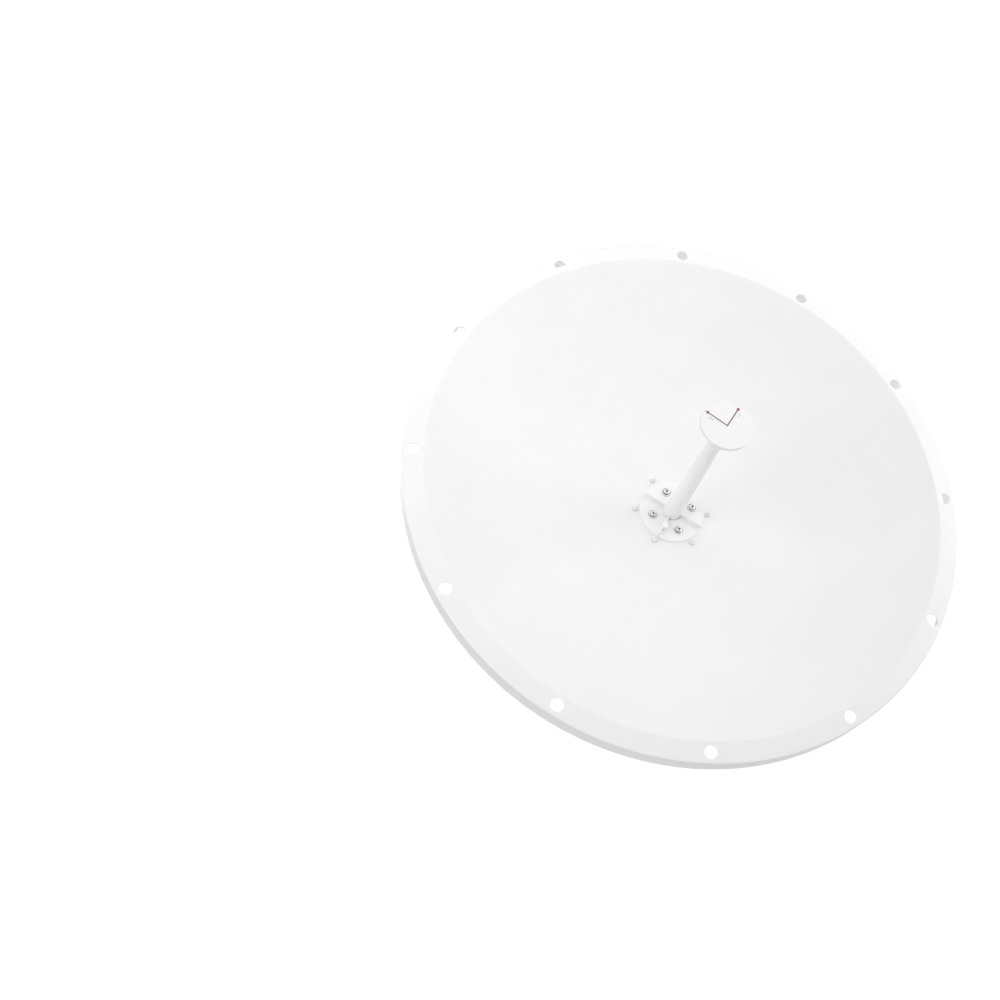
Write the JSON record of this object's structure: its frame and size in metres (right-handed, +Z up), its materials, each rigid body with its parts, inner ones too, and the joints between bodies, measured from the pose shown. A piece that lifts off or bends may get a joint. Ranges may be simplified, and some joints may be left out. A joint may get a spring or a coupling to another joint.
{
  "type": "parabolic dish antenna",
  "caption": "Point-to-point microwave dish antenna: a spun round reflector with a flanged rim, a central feed on a tapered tube with a conical end, and a hub with a mounting plate behind.",
  "frame": {"origin": "centre of the mounting plate's flat back face, on the dish's axis", "axes": "-Y along the boresight, out of the open side of the dish; +Z up, the way one polarisation arrow points; +X to the right as seen from in front"},
  "size_m": [1.0544, 0.423, 1.0544],
  "materials": {
    "reflector_paint": "satin white powder coat",
    "feed_plastic": "moulded white, satin",
    "stainless_steel": "bright",
    "bare_aluminium": "turned, satin",
    "nickel_plate": "satin plate"
  },
  "bodies": {
    "root": {"backing_ring": "reflector_paint", "bottom_connector": "nickel_plate", "feed_body": "bare_aluminium", "feed_cap": "feed_plastic", "feed_cone": "feed_plastic", "feed_flange": "feed_plastic", "feed_screw_1": "stainless_steel", "feed_screw_2": "stainless_steel", "feed_screw_3": "stainless_steel", "feed_screw_4": "stainless_steel", "feed_tube": "feed_plastic", "flat_washer_1": "stainless_steel", "flat_washer_2": "stainless_steel", "flat_washer_3": "stainless_steel", "flat_washer_4": "stainless_steel", "mounting_plate": "reflector_paint", "pillar_1": "bare_aluminium", "pillar_2": "bare_aluminium", "pillar_3": "bare_aluminium", "pillar_4": "bare_aluminium", "plate_screw_1": "stainless_steel", "plate_screw_2": "stainless_steel", "plate_screw_3": "stainless_steel", "plate_screw_4": "stainless_steel", "reflector": "reflector_paint", "rivet_1": "reflector_paint", "rivet_2": "reflector_paint", "rivet_3": "reflector_paint", "rivet_4": "reflector_paint", "rivet_5": "reflector_paint", "rivet_6": "reflector_paint", "side_connector": "nickel_plate", "spring_washer_1": "stainless_steel", "spring_washer_2": "stainless_steel", "spring_washer_3": "stainless_steel", "spring_washer_4": "stainless_steel"}
  },
  "joints": []
}
